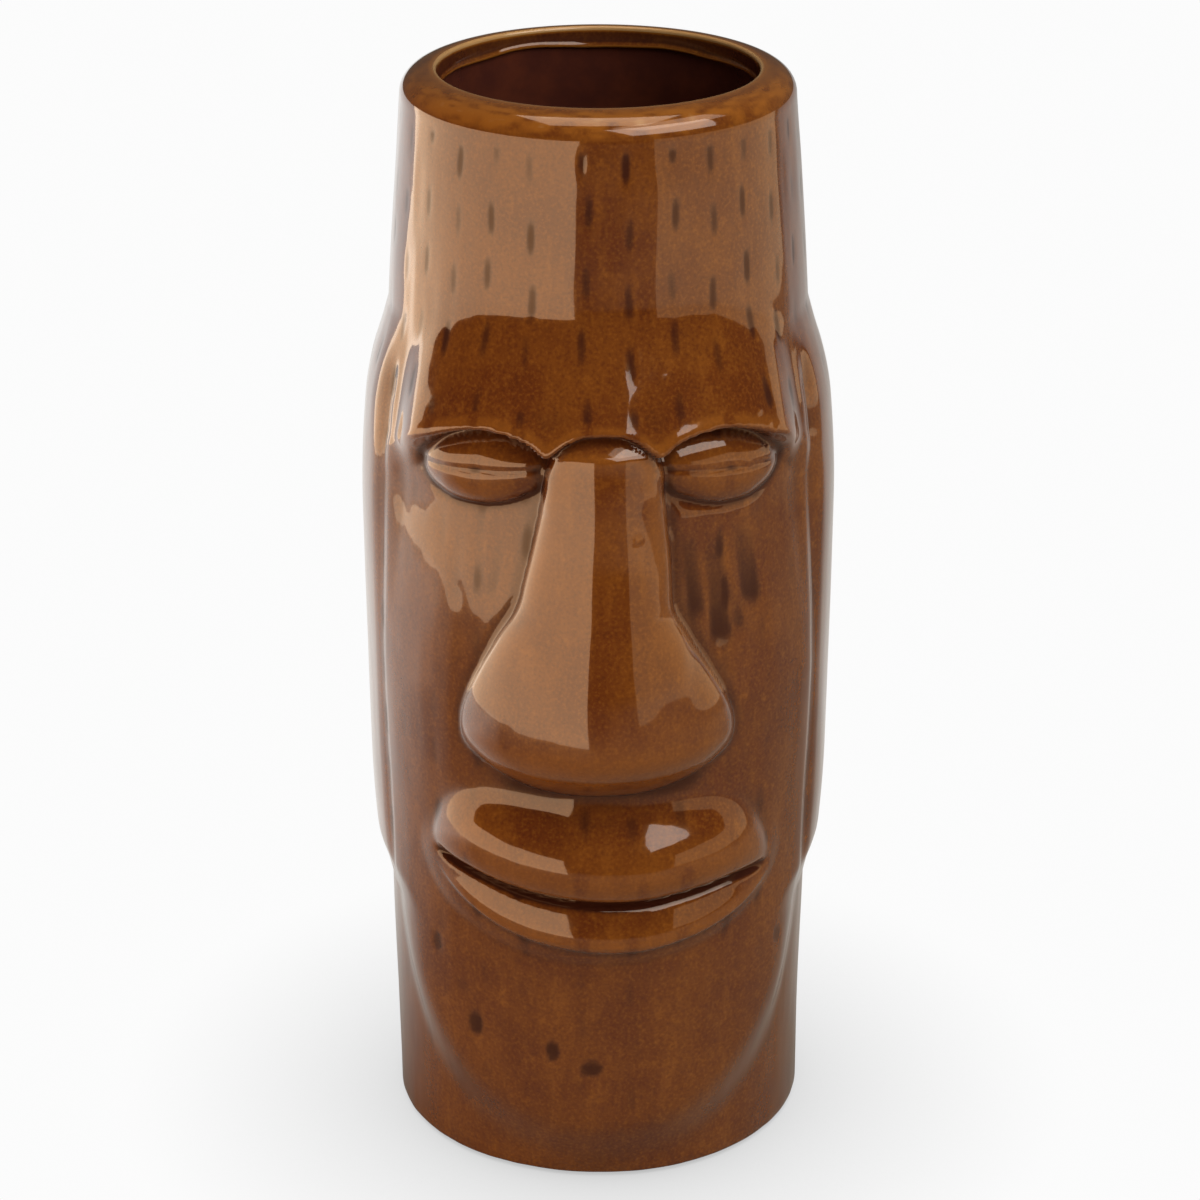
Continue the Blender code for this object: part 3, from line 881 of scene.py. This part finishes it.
def build_clay():
    """The clay between the coats, bare at the foot ring and in the corner of the recess."""
    rings = Rings(ROUND)
    corner = FOOT_INNER - 1.2
    rings.add(0, RECESS_TOP)
    rings.add(corner, RECESS_TOP)
    for turn in np.radians((30, 60, 90)):
        rings.add(corner + 1.2 * np.sin(turn), RECESS_TOP - 0.8 * (1 - np.cos(turn)))
    for radius, z in FOOT_SECTION:
        rings.add(radius, z)
    for level in steps([(6, 174, 8.0)]):
        rings.add(curve(level, COLUMN) - CLAY_FRONT, level)
    for level in steps([(14, 174, 8.0)])[::-1]:
        rings.add(liner_radius(level, CLAY_BACK), level)
    for radius in (24.0, 0):
        rings.add(radius, FLOOR - CLAY_FLOOR_DROP)
    closed_piece("clay_shell", rings, buff_clay(), "clay_body")


def glaze_base_disc():
    """The disc under the floor stays as packed, with a glaze of its own."""
    glaze = base_glaze()
    for slot in bpy.data.objects["base_glaze"].material_slots:
        slot.material = glaze


build_exterior()
build_liner()
build_clay()
glaze_base_disc()


# Stage, in metres; the lens is in mm and its tilt in degrees

CAMERA_LENS = 106.74
CAMERA_TILT = 22.85
CAMERA_X = 0.0003
CAMERA_BACK = 0.5429
CAMERA_HEIGHT = 0.3184
BACKDROP = 0.95
ROOM_COLOUR = (1.0, 0.84, 0.66, 1.0)
FLOOR_COLOUR = (0.31, 0.28, 0.24, 1.0)
FLOOR_REACH = 3.0
FLOOR_GAP = 0.0002
CARD_REACH = 0.47
CARD_TOP = 0.168


def area_light(name, place, aim, width, height, radiance, colour):
    """A soft light of a given brightness, whatever its size."""
    data = bpy.data.lights.new(name, "AREA")
    data.shape = "RECTANGLE"
    data.size = width
    data.size_y = height
    data.energy = np.pi * width * height * radiance
    data.color = colour
    lamp = bpy.data.objects.new(name, data)
    lamp.location = place
    lamp.rotation_euler = (Vector(aim) - Vector(place)).to_track_quat("-Z", "Y").to_euler()
    lamp.visible_camera = False
    bpy.context.scene.collection.objects.link(lamp)


def standing_card(name, start, end, bottom, radiance, colour):
    """A bright card between two directions (degrees from the front), turned to the mug."""
    a, b = (Vector((CARD_REACH * np.sin(turn), -CARD_REACH * np.cos(turn), 0))
            for turn in np.radians((start, end)))
    middle = (a + b) / 2 + Vector((0, 0, (bottom + CARD_TOP) / 2))
    normal = Vector((0, 0, 1)).cross(b - a).normalized()
    if normal.dot(middle) > 0:
        normal = -normal
    area_light(name, middle, middle + normal, (b - a).length, CARD_TOP - bottom, radiance, colour)


def card_arc(name, turns, bottom, radiance, colour):
    """Cards set edge to edge on an arc round the mug."""
    for start, end in zip(turns, turns[1:]):
        standing_card(name, start, end, bottom, radiance, colour)


def build_world():
    """White behind the mug for the camera; a dim, warm room, a little lighter behind, for the glaze."""
    world = bpy.data.worlds.new("studio")
    world.use_nodes = True
    tree = Tree(world.node_tree)
    backdrop = tree.nodes["Background"]
    backdrop.inputs["Color"].default_value = (1, 1, 1, 1)
    backdrop.inputs["Strength"].default_value = BACKDROP
    room = tree.add("ShaderNodeBackground")
    room.inputs["Color"].default_value = ROOM_COLOUR
    split = tree.add("ShaderNodeSeparateXYZ")
    tree.link(tree.add("ShaderNodeTexCoord").outputs["Generated"], split.inputs["Vector"])
    tree.link(tree.ramp(split.outputs["Y"], -0.3, 0.6, 0.03, 0.08), room.inputs["Strength"])
    output = tree.nodes["World Output"]
    tree.seen_or_lit(backdrop.outputs["Background"], room.outputs["Background"], output)
    bpy.context.scene.world = world


def floor_glow(floor):
    """Light from the table behind the mug, more on the left, and none where the cards hide it."""
    split = floor.add("ShaderNodeSeparateXYZ")
    floor.link(floor.place, split.inputs["Vector"])
    x, y = split.outputs["X"], split.outputs["Y"]
    behind = floor.add("ShaderNodeVectorMath", operation="DOT_PRODUCT")
    behind.inputs[1].default_value = (-0.3, 0.8, 0.0)
    floor.link(floor.place, behind.inputs[0])
    away = floor.add("ShaderNodeVectorMath", operation="LENGTH")
    floor.link(floor.place, away.inputs[0])
    sweep = floor.line(behind.outputs["Value"], 0.0, 0.10)
    sides = floor.line(x, -0.25, 0.15, 0.84, 0.30)
    inside = floor.line(away.outputs["Value"], 0.43, 0.50, 1.0, 0.0)
    past_cards = floor.line(floor.math("MULTIPLY_ADD", floor.math("ABSOLUTE", x), -0.65, y), -0.05, 0.05)
    glow = floor.math("MULTIPLY", sweep, sides)
    return floor.math("MULTIPLY", glow, floor.math("MAXIMUM", inside, past_cards))


def build_floor():
    """A pale table: near-white with a contact shadow for the camera, warm grey with a glow for the glaze."""
    mesh = bpy.data.meshes.new("floor")
    corners = [(x * FLOOR_REACH, y * FLOOR_REACH, 0) for x, y in ((-1, -1), (1, -1), (1, 1), (-1, 1))]
    mesh.from_pydata(corners, [], [(0, 1, 2, 3)])
    table = bpy.data.objects.new("floor", mesh)
    table.location.z = -FLOOR_GAP
    floor = Material("pale floor")
    floor.set(Base_Color=FLOOR_COLOUR, Roughness=0.8, Emission_Color=(1, 1, 1, 1))
    floor.drive("Emission Strength", floor_glow(floor))
    # Painted contact shadow: the floor the camera sees glows, dimmer where ambient occlusion finds the mug.
    contact = floor.add("ShaderNodeAmbientOcclusion")
    contact.inputs["Distance"].default_value = 0.05
    paper = floor.add("ShaderNodeEmission")
    floor.link(floor.line(contact.outputs["AO"], 0.0, 1.0, 0.45, 0.97), paper.inputs["Strength"])
    output = floor.nodes["Material Output"]
    floor.seen_or_lit(paper.outputs["Emission"], floor.shader.outputs["BSDF"], output)
    mesh.materials.append(floor.material)
    bpy.context.scene.collection.objects.link(table)


def build_lights():
    """Warm cards to both sides, a large white key from the front right and soft light from above."""
    card_arc("left card", (-10, -39, -68, -97, -126), 0.0, 2.5, (1.0, 0.76, 0.53))
    card_arc("right card", (31, 60, 89, 118), 0.045, 0.85, (1.0, 0.72, 0.45))
    area_light("key", (0.65, -0.63, 0.90), (0, 0, 0.10), 1.14, 0.75, 2.95, (0.96, 0.97, 1.0))
    area_light("side top", (0.46, -0.24, 0.98), (0, 0, 0.15), 0.90, 0.40, 1.4, (1.0, 0.97, 0.93))
    area_light("top", (0, 0, 1.40), (0, 0, 0.15), 0.90, 0.90, 2.2, (1.0, 0.90, 0.78))


def build_camera():
    """Looks down on the mug from a little above, through a long lens."""
    data = bpy.data.cameras.new("camera")
    data.sensor_width = 36.0
    data.lens = CAMERA_LENS
    data.clip_start = 0.01
    camera = bpy.data.objects.new("camera", data)
    camera.location = (CAMERA_X, AXIS_Y - CAMERA_BACK, CAMERA_HEIGHT)
    camera.rotation_euler = (np.pi / 2 - np.radians(CAMERA_TILT), 0, 0)
    bpy.context.scene.collection.objects.link(camera)
    bpy.context.scene.camera = camera


bpy.context.scene.view_settings.view_transform = "Standard"
build_world()
build_floor()
build_lights()
build_camera()
